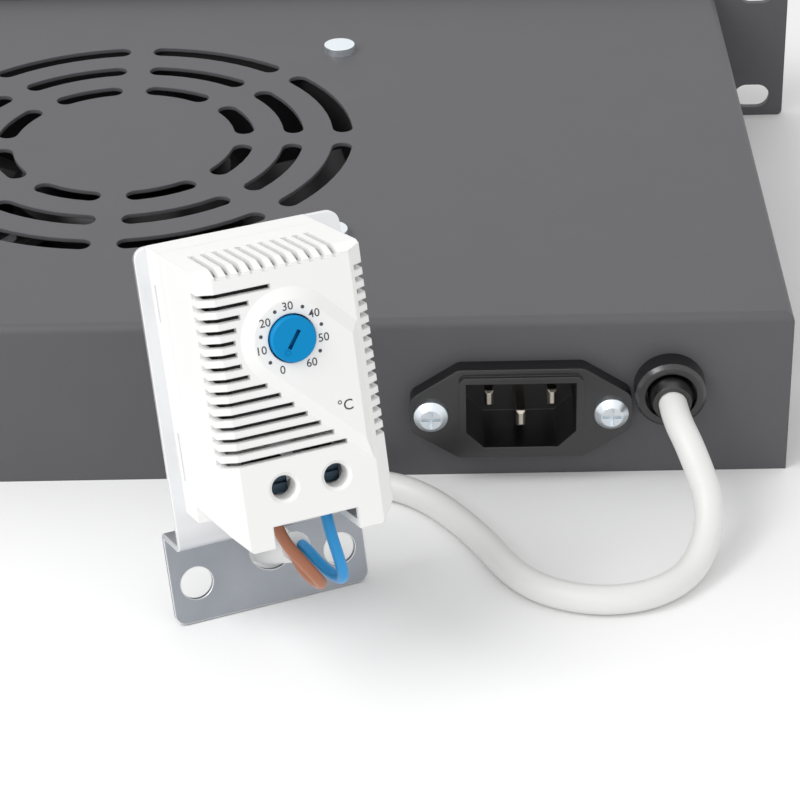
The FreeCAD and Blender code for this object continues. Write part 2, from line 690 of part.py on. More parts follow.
pad(inlet, collar, "collar_proud")
case = new_sketch(inlet, "XZ_Plane", "inlet_place", INLET_Z, INLET_BACK)
draw_polygon(case, rectangle("0", "0", "recess_wide + 3", "recess_high + 3"))
pad(inlet, case, "recess_deep - collar_proud + 4", True)
recess = new_sketch(inlet, "XZ_Plane", "inlet_place", INLET_Z, INLET_BACK + " + collar_proud")
draw_polygon(recess, [
    ("-recess_wide / 2", "recess_high / 2"),
    ("-recess_wide / 2", "recess_corner - recess_high / 2"),
    ("recess_corner - recess_wide / 2", "-recess_high / 2"),
    ("recess_wide / 2 - recess_corner", "-recess_high / 2"),
    ("recess_wide / 2", "recess_corner - recess_high / 2"),
    ("recess_wide / 2", "recess_high / 2"),
])
pocket(inlet, recess, "recess_deep")
PINS = [
    ("live", "-pin_pitch / 2", "pin_offset / 2"), ("neutral", "pin_pitch / 2", "pin_offset / 2"),
    ("earth", "0", "-pin_offset / 2"),
]
for pin_name, x, z in PINS:
    hole = new_sketch(inlet, "XZ_Plane", "inlet_place", INLET_Z, INLET_BACK)
    draw_polygon(hole, rectangle(x, z, "pin_wide", "pin_high"))
    pocket(inlet, hole, "recess_deep + 4")
drill(inlet, "XZ_Plane", INLET_BACK + " + flange_thick", [
    ("inlet_place - inlet_pitch / 2", INLET_Z, "m3 + hole_gap"),
    ("inlet_place + inlet_pitch / 2", INLET_Z, "m3 + hole_gap"),
], "flange_thick")
piece("inlet_housing", inlet)

PIN_BACK = "(%s + recess_deep - collar_proud + 4)" % REAR
for pin_name, x, z in PINS:
    pin = new_body("pin_body")
    length = "recess_deep" if pin_name != "earth" else "recess_deep + 2.2"
    section = new_sketch(pin, "XZ_Plane", "inlet_place", INLET_Z, "-" + PIN_BACK)
    draw_polygon(section, rectangle(x, z, "pin_wide", "pin_high"))
    blade = pad(pin, section, length)
    tip_y = size("recess_deep") - size("collar_proud") + 4 - size("panel_metal") - size("tray_depth")
    tip_y -= size("recess_deep") + (0 if pin_name != "earth" else 2.2)
    doc.recompute()
    nose = pin.newObject("PartDesign::Chamfer", "nose")
    nose.Base = (blade, edges_where(blade, lambda a, b: near(a.y, tip_y) and near(b.y, tip_y)))
    bind(nose, Size="0.6")
    pin.Tip = nose
    tag = new_sketch(pin, "XZ_Plane", "inlet_place", INLET_Z, "-" + PIN_BACK)
    draw_polygon(tag, rectangle(x, z, "0.8", "pin_high"))
    pad(pin, tag, "8", True)
    piece("pin_" + pin_name, pin)

inlet_screws = []
inlet_nuts = []
for side in (-1, 1):
    x = "inlet_place + %d * inlet_pitch / 2" % side
    face = REAR + " - flange_thick"
    head = rod((x, face, INLET_Z), "-Y", "3.8", "0.9")
    dome = cone((x, face + " - 0.9", INLET_Z), "-Y", "3.8", "2.4", "1.4")
    shank = rod((x, face, INLET_Z), "Y", "m3 / 2", "flange_thick + tray_metal + 4.4")
    cross = [
        block((x + " - 2.1", face + " - 2.3", INLET_Z + " - 0.4"), ("4.2", "1.2", "0.8")),
        block((x + " - 0.4", face + " - 2.3", INLET_Z + " - 2.1"), ("0.8", "1.2", "4.2")),
    ]
    inlet_screws.append(carve(join([head, dome, shank]), cross))
    nut = prism((x, REAR + " + tray_metal", INLET_Z), "Y", "5.5", "2.4")
    nut_bore = rod((x, REAR + " + tray_metal", INLET_Z), "Y", "m3 / 2 + thread_gap", "2.4")
    inlet_nuts.append(carve(nut, [nut_bore]))
piece("inlet_screws", join(inlet_screws))
piece("inlet_nuts", join(inlet_nuts))

# ---- cable gland: a moulded bush clipped in the wall, open at the nose ----

gland = new_body("gland_body")
profile = new_sketch(gland, "XY_Plane", "gland_place", REAR, GLAND_Z)
GLAND_NOSE = "(gland_proud + 3)"
grip_bore = "lead_dia / 2 - grip"
draw_polygon(profile, [
    (grip_bore, "7"), ("5.6", "7"), ("6.8", "tray_metal + 0.1"), ("6.2", "tray_metal + 0.1"),
    ("6.2", "0"), ("gland_ring / 2", "0"), ("gland_ring / 2", "-gland_proud + 0.8"),
    ("gland_ring / 2 - 0.8", "-gland_proud"), ("gland_ring / 2 - 2.2", "-gland_proud"),
    ("gland_ring / 2 - 2.2", "-1.6"), ("5", "-1.6"), ("5", "-gland_proud"),
    ("4.2", "-" + GLAND_NOSE), (grip_bore, "-" + GLAND_NOSE),
])
revolve(gland, profile)
piece("cable_gland", gland)

# ---- terminal block, earth ring and their nuts ----

BLOCK_HIGH = "13"
block_body = block((BLOCK_X + " - 20", BLOCK_Y + " - 9", FAN_LOW), ("40", "18", BLOCK_HIGH))
block_cuts = [rod((x, y, FAN_LOW), "Z", "m3 / 2 + hole_gap / 2", BLOCK_HIGH) for x, y in BLOCK_STUDS]
for offset in (-8, 0, 8):
    well = rod((BLOCK_X + " + %d" % offset, BLOCK_Y, FAN_LOW + " + 7"), "Z", "2.2", "6")
    block_cuts.append(well)
for offset in (-4, 4):
    groove = block((BLOCK_X + " + %d - 0.7" % offset, BLOCK_Y + " - 9", FAN_LOW + " + 9"),
                   ("1.4", "18", "4"))
    block_cuts.append(groove)
piece("terminal_block", carve(block_body, block_cuts))
block_nuts = []
for x, y in BLOCK_STUDS:
    nut = prism((x, y, FAN_LOW + " + " + BLOCK_HIGH), "Z", "5.5", "2.4")
    nut_bore = rod((x, y, FAN_LOW + " + " + BLOCK_HIGH), "Z", "m3 / 2 + thread_gap", "2.4")
    block_nuts.append(carve(nut, [nut_bore]))
piece("terminal_block_nuts", join(block_nuts))

RING_THICK = "0.8"
ring_plate = rod((EARTH_STUD[0], EARTH_STUD[1], FAN_LOW), "Z", "4.2", RING_THICK)
ring_neck = block((EARTH_STUD[0], EARTH_STUD[1] + " - 1.5", FAN_LOW), ("5.5", "3", RING_THICK))
ring_barrel = rod((EARTH_STUD[0] + " + 5", EARTH_STUD[1], FAN_LOW + " + 2"), "X", "2", "4")
ring_hole = rod((EARTH_STUD[0], EARTH_STUD[1], FAN_LOW), "Z", "m4 / 2 + thread_gap", RING_THICK)
piece("earth_ring", carve(join([ring_plate, ring_neck, ring_barrel]), [ring_hole]))
earth_nut = prism((EARTH_STUD[0], EARTH_STUD[1], FAN_LOW + " + " + RING_THICK), "Z", "7", "3.2")
earth_bore = rod((EARTH_STUD[0], EARTH_STUD[1], FAN_LOW + " + " + RING_THICK), "Z",
                 "m4 / 2 + thread_gap", "3.2")
piece("earth_nut", carve(earth_nut, [earth_bore]))

# ---- thermostat: drawn upright with X across, Y up and Z out of its bracket, then leaned back ----

lean = math.radians(size("bracket_lean"))
stands_on = -size("panel_height") / 2
foot_low = -size("foot_drop") * math.cos(lean)
foot_low -= (size("foot_back") + size("plate_metal")) * math.sin(lean)
stand = FreeCAD.Placement(
    FreeCAD.Vector(size("bracket_x"), size("bracket_y"), stands_on - foot_low),
    FreeCAD.Rotation(FreeCAD.Vector(0, 0, 1), size("bracket_yaw"))
    * FreeCAD.Rotation(FreeCAD.Vector(1, 0, 0), 90 - size("bracket_lean")),
)

bracket = new_body("bracket_body")
side_view = new_sketch(bracket, "YZ_Plane", z="plate_offset - plate_wide / 2")
draw_polygon(side_view, [
    ("plate_top", "0"), ("plate_top", "-plate_metal"),
    ("plate_metal - plate_drop", "-plate_metal"),
    ("plate_metal - plate_drop", "-foot_back - plate_metal"),
    ("-foot_drop", "-foot_back - plate_metal"), ("-foot_drop", "-foot_back"),
    ("-plate_drop", "-foot_back"), ("-plate_drop", "0"),
])
strip = pad(bracket, side_view, "plate_wide")


def along_bend(v, w):
    """A test for the edge across the plate at one height and depth."""
    def test(a, b):
        return near(a.y, v) and near(b.y, v) and near(a.z, w) and near(b.z, w)
    return test


thick = size("plate_metal")
drop = size("plate_drop")
back = size("foot_back")
bend = fillet(bracket, strip, along_bend(thick - drop, -thick), "1")
bend = fillet(bracket, bend, along_bend(-drop, -back), "1")
bend = fillet(bracket, bend, along_bend(thick - drop, -back - thick), "1 + plate_metal")
bend = fillet(bracket, bend, along_bend(-drop, 0), "1 + plate_metal")


def plate_corner(a, b):
    """The short corner edges at the plate's top and the foot's bottom."""
    ends = (size("plate_top"), -size("foot_drop"))
    return near(a.x, b.x) and near(a.y, b.y) and (near(a.y, ends[0]) or near(a.y, ends[1]))


fillet(bracket, bend, plate_corner, "2.5")
RAIL_MIDDLE = "((stat_foot + stat_top) / 2)"
drill(bracket, "XY_Plane", "-foot_back", [
    ("plate_offset - rail_pitch / 2", "rail_hole_up - foot_drop", "rail_hole"),
    ("plate_offset + rail_pitch / 2", "rail_hole_up - foot_drop", "rail_hole"),
    ("3.4", "-11.2", "lead_dia + 3.5"),
], "plate_metal * 2")
windows = new_sketch(bracket, "XY_Plane")
draw_polygon(windows, rectangle("0", RAIL_MIDDLE + " + rail_web / 2 + 2.3", "18", "4.6"))
pocket(bracket, windows, "plate_metal * 2")
windows = new_sketch(bracket, "XY_Plane")
draw_polygon(windows, rectangle("0", RAIL_MIDDLE + " - rail_web / 2 - 2.8", "14", "5.6"))
pocket(bracket, windows, "plate_metal * 2")
piece("thermostat_bracket", bracket, stand)

# base: back shell with the fixed rail hook, the clip's groove and the terminal pillar
base = new_body("base_body")
HALF_WIDE = "(stat_wide / 2)"
STAT_HIGH = "(stat_top - stat_foot)"
case_back = new_sketch(base, "XY_Plane")
draw_polygon(case_back, rectangle("0", RAIL_MIDDLE, "stat_wide", STAT_HIGH))
pad(base, case_back, "base_deep")
well = new_sketch(base, "XY_Plane", z="base_deep")
draw_polygon(well, rectangle("0", RAIL_MIDDLE, "stat_wide - 2 * stat_wall - 0.6",
                             STAT_HIGH + " - 2 * stat_wall - 0.6"))
pocket(base, well, "base_deep - 4")
for side in (1, -1):
    for rise, long in (("48.7", "7.5"), ("17", "10")):
        catch = new_sketch(base, "YZ_Plane", z="%d * stat_wide / 2" % side)
        draw_polygon(catch, rectangle(rise, "2.8", long, "1.2"))
        pocket(base, catch, "stat_wall", side < 0)
clip_way = new_sketch(base, "XY_Plane")
draw_polygon(clip_way, rectangle("0", "stat_foot + 10", "12.4", "20"))
pocket(base, clip_way, "2", True)
hook_arm = new_sketch(base, "XY_Plane")
draw_polygon(hook_arm, rectangle("0", RAIL_MIDDLE + " + rail_web / 2 + 1.6", "16", "2.6"))
pad(base, hook_arm, "plate_metal + 2.4", True)
hook_lip = new_sketch(base, "XY_Plane", z="-plate_metal - 0.2")
draw_polygon(hook_lip, rectangle("0", RAIL_MIDDLE + " + rail_web / 2 + 0.4", "16", "5"))
pad(base, hook_lip, "2.2", True)
pillar = new_sketch(base, "XY_Plane", z="4")
draw_polygon(pillar, rectangle("0", "screw_up", "screw_spread + 11", "8"))
pad(base, pillar, "13")
piece("thermostat_base", base, stand)

# rail clip: slides down in its groove to let the lower edge of the rail web go
clip_slide = block(("-6", "stat_foot - 2.5", "0.1"), ("12", "20", "1.8"))
clip_low = RAIL_MIDDLE + " - rail_web / 2 - 2.3"
clip_arm = block(("-5", clip_low, "-plate_metal - 2.4"), ("10", "2.1", "plate_metal + 2.5"))
clip_lip = block(("-5", clip_low, "-plate_metal - 2.4"), ("10", "4.3", "2.2"))
clip_eye = block(("-3", "stat_foot - 1.5", "0.1"), ("6", "1", "1.8"))
piece("rail_clip", carve(join([clip_slide, clip_arm, clip_lip]), [clip_eye]), stand)

# cover: bevelled shell, raised drop-shaped dial field, vents, screw holes and wire notch
cover = new_body("cover_body")
plan = new_sketch(cover, "XZ_Plane", z="-stat_top")
draw_polygon(plan, [
    ("-" + HALF_WIDE, "base_deep"), (HALF_WIDE, "base_deep"), (HALF_WIDE, "stat_deep - 2"),
    (HALF_WIDE + " - 2.9", "stat_deep"), ("2.9 - " + HALF_WIDE, "stat_deep"),
    ("-" + HALF_WIDE, "stat_deep - 2"),
])
hood = pad(cover, plan, STAT_HIGH)
brow = new_sketch(cover, "YZ_Plane", z="-stat_wide")
draw_polygon(brow, [
    ("stat_top - 1.2", "stat_deep + 1"), ("stat_top - 1.2", "stat_deep"),
    ("stat_top", "stat_deep - 3.4"), ("stat_top + 2", "stat_deep - 3.4"),
    ("stat_top + 2", "stat_deep + 1"),
])
pocket(cover, brow, "stat_wide * 2", True)
for side in (-1, 1):
    heel = new_sketch(cover, "XY_Plane", z="stat_deep + 1")
    draw_polygon(heel, [
        ("%d * (%s + 1)" % (side, HALF_WIDE), "stat_foot - 1"),
        ("%d * (%s + 1)" % (side, HALF_WIDE), "stat_foot + 3.6"),
        ("%d * %s" % (side, HALF_WIDE), "stat_foot + 3.6"),
        ("%d * (%s - 3.3)" % (side, HALF_WIDE), "stat_foot"),
        ("%d * (%s - 3.3)" % (side, HALF_WIDE), "stat_foot - 1"),
    ])
    trimmed = pocket(cover, heel, "stat_deep")
doc.recompute()
rim_face = [
    "Face%d" % number
    for number, face in enumerate(trimmed.Shape.Faces, start=1)
    if near(face.CenterOfMass.z, size("base_deep"))
]
shell = cover.newObject("PartDesign::Thickness", "shell")
shell.Base = (trimmed, rim_face)
shell.Reversed = True
shell.Join = 1
bind(shell, Value="stat_wall")
cover.Tip = shell


def draw_drop(sketch, radius_alias, edge):
    """The dial field: round at the upper left, running off at 45 degrees to the right edge."""
    radius = size(radius_alias)
    rise = size("knob_up")
    right = size("stat_wide") / 2 - edge
    slant = radius * math.sqrt(2)
    low = FreeCAD.Vector(-radius / math.sqrt(2), rise - radius / math.sqrt(2), 0)
    high = FreeCAD.Vector(radius / math.sqrt(2), rise + radius / math.sqrt(2), 0)
    low_end = FreeCAD.Vector(right, rise - slant - right, 0)
    high_end = FreeCAD.Vector(right, rise + slant - right, 0)
    circle = Part.Circle(FreeCAD.Vector(0, rise, 0), FreeCAD.Vector(0, 0, 1), radius)
    bow = sketch.addGeometry(Part.ArcOfCircle(circle, math.pi / 4, math.pi * 5 / 4))
    lower = sketch.addGeometry(Part.LineSegment(low, low_end))
    upright = sketch.addGeometry(Part.LineSegment(low_end, high_end))
    upper = sketch.addGeometry(Part.LineSegment(high_end, high))
    sketch.addConstraint(Sketcher.Constraint("PointOnObject", bow, 3, -2))
    sketch.addConstraint(Sketcher.Constraint("DistanceY", -1, 1, bow, 3, rise))
    bind_last(sketch, "knob_up")
    sketch.addConstraint(Sketcher.Constraint("Radius", bow, radius))
    bind_last(sketch, radius_alias)
    sketch.addConstraint(Sketcher.Constraint("Tangent", bow, 2, lower, 1))
    sketch.addConstraint(Sketcher.Constraint("Tangent", upper, 2, bow, 1))
    sketch.addConstraint(Sketcher.Constraint("Coincident", lower, 2, upright, 1))
    sketch.addConstraint(Sketcher.Constraint("Coincident", upright, 2, upper, 1))
    sketch.addConstraint(Sketcher.Constraint("Vertical", upright))
    sketch.addConstraint(Sketcher.Constraint("DistanceX", -1, 1, upright, 1, right))
    bind_last(sketch, "stat_wide / 2 - %s" % edge)
    sketch.addConstraint(Sketcher.Constraint("Angle", lower, math.radians(-45)))
    sketch.addConstraint(Sketcher.Constraint("Parallel", lower, upper))


field_foot = new_sketch(cover, "XY_Plane", z="stat_deep - 0.2")
draw_drop(field_foot, "dial_outer", 2.9)
field_top = new_sketch(cover, "XY_Plane", z="stat_deep + dial_rise")
draw_drop(field_top, "dial_inner", 4.5)
field = cover.newObject("PartDesign::AdditiveLoft", "field")
field.Profile = field_foot
field.Sections = [field_top]
field.Ruled = True
cover.Tip = field
knob_way = new_sketch(cover, "XY_Plane", z="stat_deep + dial_rise")
draw_circle(knob_way, "0", "knob_up", "knob_dia + 2 * knob_gap")
pocket(cover, knob_way, "dial_rise + stat_wall + 1")
sleeves = new_sketch(cover, "XY_Plane", z="stat_deep - stat_wall")
screw_ways = new_sketch(cover, "XY_Plane", z="stat_deep")
for side in (-1, 1):
    draw_circle(sleeves, "%d * screw_spread / 2" % side, "screw_up", "screw_hole + 2.2")
    draw_circle(screw_ways, "%d * screw_spread / 2" % side, "screw_up", "screw_hole")
pad(cover, sleeves, "2.6", True)
pocket(cover, screw_ways, "stat_wall + 3")
notch = new_sketch(cover, "XY_Plane", z="stat_deep")
draw_polygon(notch, rectangle("0", "stat_foot + 1.7", "17.3", "5.4"))
pocket(cover, notch, "16")
top_vent = new_sketch(cover, "XY_Plane", z="stat_deep")
draw_polygon(top_vent, rectangle("0 - 0.7 - 5 * vent_pitch", "stat_top", "vent", "3.4"))
top_cut = pocket(cover, top_vent, "17")
linear(cover, top_cut, top_vent, "H_Axis", "10 * vent_pitch", 11)
side_vent = new_sketch(cover, "XY_Plane", z="stat_deep + 1")
draw_polygon(side_vent, rectangle(HALF_WIDE, "stat_top - 4.8", "4.2", "vent"))
side_cut = pocket(cover, side_vent, "6.2")
linear(cover, side_cut, side_vent, "V_Axis", "14 * vent_pitch", 15, True)

# the left-hand vents stop at the edge of the dial field, and the screw holes have flared mouths
vents = [
    cone(("%d * screw_spread / 2" % side, "screw_up", "stat_deep - 0.7"), "Z",
         "screw_hole / 2", "screw_hole / 2 + 0.8", "0.8")
    for side in (-1, 1)
]
for number in range(15):
    rise = size("stat_top") - 4.8 - number * size("vent_pitch")
    up = "(stat_top - 4.8 - %d * vent_pitch)" % number
    from_knob = rise - size("knob_up")
    if from_knob > -size("dial_outer") / math.sqrt(2):
        clear = "sqrt((dial_outer + 0.5) ^ 2 - (%s - knob_up) ^ 2)" % up
        if abs(from_knob) >= size("dial_outer") + 0.4:
            clear = "2"
        stop = "(0 - %s)" % clear
    else:
        stop = "(knob_up - dial_outer * 1.4142 - %s + 0.4)" % up
    vents.append(block(("-%s - 1" % HALF_WIDE, up + " - vent / 2", "stat_deep - 5.2"),
                       ("%s + %s + 1" % (stop, HALF_WIDE), "vent", "8")))
piece("thermostat_cover", carve(cover, vents), stand)

# knob: a low round cap with a driver slot and a pointer, over the spindle
POINTER = 234.0
knob = new_body("knob_body")
cap = new_sketch(knob, "XY_Plane", "0", "knob_up", "stat_deep - 4")
draw_circle(cap, "0", "0", "knob_dia")
disc = pad(knob, cap, "knob_proud + 4")
doc.recompute()
knob_front = size("stat_deep") + size("knob_proud")
soften = knob.newObject("PartDesign::Chamfer", "soften")
soften.Base = (disc, [
    "Edge%d" % number for number, edge in enumerate(disc.Shape.Edges, start=1)
    if near(edge.BoundBox.ZMin, knob_front) and near(edge.BoundBox.ZMax, knob_front)
])
bind(soften, Size="0.3")
knob.Tip = soften
driver = new_sketch(knob, "XY_Plane", "0", "knob_up", "stat_deep + knob_proud", turn=POINTER)
draw_polygon(driver, rectangle("0", "0", "4", "0.8"))
pocket(knob, driver, "0.8")
arrow = new_sketch(knob, "XY_Plane", "0", "knob_up", "stat_deep + knob_proud", turn=POINTER)
draw_polygon(arrow, [("knob_dia / 2 - 1", "0"), ("knob_dia / 2 - 2", "0.45"),
                     ("knob_dia / 2 - 2", "-0.45")])
pad(knob, arrow, "0.2")
piece("temperature_knob", knob, stand)
spindle = rod(("0", "knob_up", "14"), "Z", "2.5", "stat_deep - 18")
cam = rod(("0.8", "knob_up", "22"), "Z", "3.8", "3")
piece("knob_spindle", join([spindle, cam]), stand)

# switch module, its bimetal strip and the two clamp terminals
switch = block(("-9", "screw_up + 9", "4"), ("18", "stat_top - screw_up - 14", "16"))
spindle_bore = rod(("0", "knob_up", "14"), "Z", "2.5 + running_gap", "6")
piece("switch_module", carve(switch, [spindle_bore]), stand)
strip_foot = block(("-9.8", "screw_up + 12", "6"), ("0.8", "6", "11"))
strip_blade = block(("-9.8", "screw_up + 18", "15"), ("0.8", "18", "2"))
piece("bimetal_strip", join([strip_foot, strip_blade]), stand)
clamps = []
clamp_screws = []
for side in (-1, 1):
    x = "%d * screw_spread / 2" % side
    cage = block((x + " - 3", "screw_up - 3.5", "17"), ("6", "7", "9"))
    wire_way = rod((x, "screw_up - 3.5", "23"), "Y", "core_dia / 2 + 0.1", "3")
    screw_way = rod((x, "screw_up", "26"), "-Z", "m3 / 2 + thread_gap", "2")
    clamps.append(carve(cage, [wire_way, screw_way]))
    head = rod((x, "screw_up", "27.6"), "Z", "2.1", "2")
    shank = rod((x, "screw_up", "24.35"), "Z", "m3 / 2", "3.25")
    slot = block((x + " - 2.5", "screw_up - 0.35", "28.8"), ("5", "0.7", "1"))
    clamp_screws.append(carve(join([head, shank]), [slot]))
piece("terminal_clamps", join(clamps), stand)
piece("terminal_screws", join(clamp_screws), stand)

# ---- leads: straight runs joined by tangent arcs ----


def tube_along(name, points, diameter):
    """A round lead through points, with every arc as large as its two runs allow."""
    edges = []
    at = points[0]
    length = 0.0
    radii = []
    for k in range(1, len(points) - 1):
        before = points[k] - points[k - 1]
        after = points[k + 1] - points[k]
        turn = before.getAngle(after)
        cut = 0.45 * min(before.Length, after.Length)
        radius = cut / math.tan(turn / 2)
        radii.append(radius)
        inward = FreeCAD.Vector(before).normalize()
        onward = FreeCAD.Vector(after).normalize()
        start = points[k] - inward * cut
        stop = points[k] + onward * cut
        inside = FreeCAD.Vector(onward - inward).normalize()
        centre = points[k] + inside * (radius / math.cos(turn / 2))
        middle = centre - inside * radius
        edges.append(Part.LineSegment(at, start).toShape())
        edges.append(Part.Arc(start, middle, stop).toShape())
        length += (start - at).Length + radius * turn
        at = stop
    edges.append(Part.LineSegment(at, points[-1]).toShape())
    length += (points[-1] - at).Length
    path = Part.Wire(edges)
    ahead = points[1] - points[0]
    section = Part.Wire([Part.makeCircle(diameter / 2, points[0], ahead)])
    tube = path.makePipeShell([section], True, False)
    lead = doc.addObject("Part::Feature", name)
    lead.Shape = tube
    ideal = math.pi * diameter ** 2 / 4 * length
    print("%s: length %.1f, volume / (section x length) %.4f" % (name, length, tube.Volume / ideal))
    print("  radii", " ".join("%.1f" % radius for radius in radii))
    piece(name, lead)


def row_of(*triples):
    return [FreeCAD.Vector(*triple) for triple in triples]


def on_stat(*triples):
    return [stand.multVec(FreeCAD.Vector(*triple)) for triple in triples]


gland_x = size("gland_place")
gland_z = tray_top - size("gland_drop")
floor_z = -size("panel_height") / 2 + size("lead_dia") / 2
rear = -size("panel_metal") - size("tray_depth")
low_z = -size("panel_height") / 2 + size("tray_metal")

outside = row_of(
    (gland_x, rear - 3.5, gland_z), (gland_x, rear - 13, gland_z),
    (gland_x + 3.1, rear - 22.5, gland_z - 3.1), (gland_x + 7.2, rear - 31.6, gland_z - 12.6),
    (gland_x + 3.2, rear - 42.9, floor_z), (gland_x - 6.4, rear - 52.8, floor_z),
    (gland_x - 20.1, rear - 55, floor_z), (gland_x - 34.3, rear - 48.2, floor_z),
    (gland_x - 43.7, rear - 28, floor_z), (gland_x - 56.7, rear - 10.9, floor_z),
    (gland_x - 70.6, rear - 6.9, floor_z), (gland_x - 81.2, rear - 9.3, floor_z),
    (gland_x - 88.7, rear - 15.3, floor_z), (gland_x - 92.8, rear - 23.4, floor_z + 0.95),
    (gland_x - 93.3, rear - 32.1, floor_z + 2.65),
) + on_stat((2.4, -13.4, -20), (2.9, -9.3, -5.8), (1.8, -6.9, 7.5))
tube_along("thermostat_lead", outside, size("lead_dia"))
end = outside[-1]

core_in = size("screw_up") - 0.5
brown = on_stat((0.5, -6.9, 7.42), (0.2, -6.26, 10.97), (2.4, -8.8, 14.6), (4.6, -10.3, 18.4),
                (4.2, -8.6, 22.8), (0.2, -3.6, 25), (-4.4, 2.8, 24.4), (-5.3, 9.2, 23), (-5.3, core_in, 23))
blue = on_stat((3.1, -6.9, 7.62), (2.8, -6.26, 11.17), (5.4, -8.6, 14.4), (8.0, -10.3, 18.2),
               (8.2, -8.8, 22.6), (6.6, -3.6, 25), (5.3, 2.8, 24.4), (5.3, 9.2, 23), (5.3, core_in, 23))
tube_along("core_brown", brown, size("core_dia"))
tube_along("core_blue", blue, size("core_dia"))

inlet_x = size("inlet_place")
inlet_z = tray_top - size("inlet_drop")
tag_y = rear + size("recess_deep") - size("collar_proud") + 12
offset_z = size("pin_offset") / 2
block_x = inlet_x + 8
block_y = rear + 74
entry_z = low_z + 6
tail = row_of(
    (gland_x, rear - 3.5, gland_z), (gland_x, rear + 12, gland_z),
    (gland_x - 3, rear + 28, gland_z - 5), (gland_x - 10, rear + 42, gland_z - 11),
    (block_x + 8, rear + 53, entry_z), (block_x + 8, block_y - 9, entry_z),
)
tube_along("thermostat_lead_tail", tail, size("lead_dia"))
pin_half = size("pin_pitch") / 2
live = row_of(
    (inlet_x - pin_half, tag_y, inlet_z + offset_z), (inlet_x - pin_half, tag_y + 10, inlet_z + offset_z),
    (inlet_x - 4.5, tag_y + 21, inlet_z - 4), (block_x - 8, tag_y + 31, entry_z),
    (block_x - 8, block_y - 9, entry_z),
)
tube_along("lead_live", live, 2.4)
neutral = row_of(
    (inlet_x + pin_half, tag_y, inlet_z + offset_z), (inlet_x + pin_half, tag_y + 10, inlet_z + offset_z),
    (inlet_x + 7.5, tag_y + 21, inlet_z - 4), (block_x, tag_y + 31, entry_z),
    (block_x, block_y - 9, entry_z),
)
tube_along("lead_neutral", neutral, 2.4)
ring_x = inlet_x - 22 + 9
ring_y = rear + 34
earth_path = row_of(
    (inlet_x, tag_y, inlet_z - offset_z), (inlet_x, tag_y + 6, inlet_z - offset_z),
    (inlet_x - 0.5, ring_y + 3.5, low_z + 7.5), (inlet_x - 6, ring_y, low_z + 2),
    (ring_x, ring_y, low_z + 2),
)
tube_along("lead_earth", earth_path, 2.4)

fan_edge = size("fan_middle") + size("fan_spread") + size("fan_bore") / 2 + size("fan_wall")
fan_y = rear + size("fan_inset")
right_path = row_of(
    (fan_edge + 0.1, fan_y, -12), (fan_edge + 10, fan_y, -12), (fan_edge + 20, fan_y + 5, -13.4),
    (block_x - 13, fan_y + 6, entry_z), (block_x - 8, fan_y, entry_z),
    (block_x - 8, block_y + 9, entry_z),
)
tube_along("fan_lead_right", right_path, 4.0)
gap_edge = size("fan_middle") - size("fan_spread") + size("fan_bore") / 2 + size("fan_wall")
front_y = fan_y + size("fan_side") / 2
left_path = row_of(
    (gap_edge + 0.1, fan_y, -12), (gap_edge + 12, fan_y, -12), (inlet_x - 170, fan_y + 18, -15),
    (inlet_x - 167, fan_y + 50, -17), (inlet_x - 142, front_y + 16, -18), (inlet_x - 95, front_y + 18, -18),
    (inlet_x - 45, front_y + 15, -18), (inlet_x - 12, fan_y + 46, -17), (block_x, fan_y + 12, entry_z),
    (block_x, block_y + 9, entry_z),
)
tube_along("fan_lead_left", left_path, 4.0)

# ---- check every sub-part, then write one STEP file each ----

doc.recompute()
for thing in doc.Objects:
    if "Invalid" in thing.State or "Error" in thing.State:
        raise RuntimeError("%s (%s) failed: %s" % (thing.Name, thing.Label, thing.State))
for thing in pieces:
    if thing.Shape.isNull() or not thing.Shape.isValid() or thing.Shape.Volume <= 0:
        raise RuntimeError("%s has no valid solid" % thing.Label)
    for solid in thing.Shape.Solids:
        if not solid.isClosed():
            raise RuntimeError("%s is open" % thing.Label)
    thing.Shape.exportStep("parts/%s.step" % thing.Label)
print("%d sub-parts written" % len(pieces))
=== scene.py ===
import math
import bpy
from mathutils import Matrix, Vector


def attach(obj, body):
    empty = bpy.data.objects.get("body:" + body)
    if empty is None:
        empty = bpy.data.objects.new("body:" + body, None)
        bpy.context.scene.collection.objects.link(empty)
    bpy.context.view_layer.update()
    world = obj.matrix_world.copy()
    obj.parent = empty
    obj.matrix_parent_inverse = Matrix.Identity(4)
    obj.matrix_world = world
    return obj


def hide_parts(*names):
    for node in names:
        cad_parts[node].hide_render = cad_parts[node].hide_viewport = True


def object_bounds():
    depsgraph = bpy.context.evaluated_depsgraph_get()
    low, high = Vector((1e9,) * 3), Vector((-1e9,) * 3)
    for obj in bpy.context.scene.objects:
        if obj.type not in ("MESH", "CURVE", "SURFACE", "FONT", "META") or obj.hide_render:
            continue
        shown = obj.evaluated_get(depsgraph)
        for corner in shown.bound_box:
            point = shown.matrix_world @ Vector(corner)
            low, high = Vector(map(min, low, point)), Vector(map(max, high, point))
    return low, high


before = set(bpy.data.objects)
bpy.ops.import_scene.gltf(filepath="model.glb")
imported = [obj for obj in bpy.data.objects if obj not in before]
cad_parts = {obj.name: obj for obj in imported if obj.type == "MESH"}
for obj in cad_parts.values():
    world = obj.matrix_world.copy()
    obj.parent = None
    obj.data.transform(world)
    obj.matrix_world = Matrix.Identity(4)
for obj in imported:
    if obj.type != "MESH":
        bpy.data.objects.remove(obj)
cad_box = [list(corner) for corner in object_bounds()]
scene = bpy.context.scene
scene.view_settings.view_transform = "Standard"

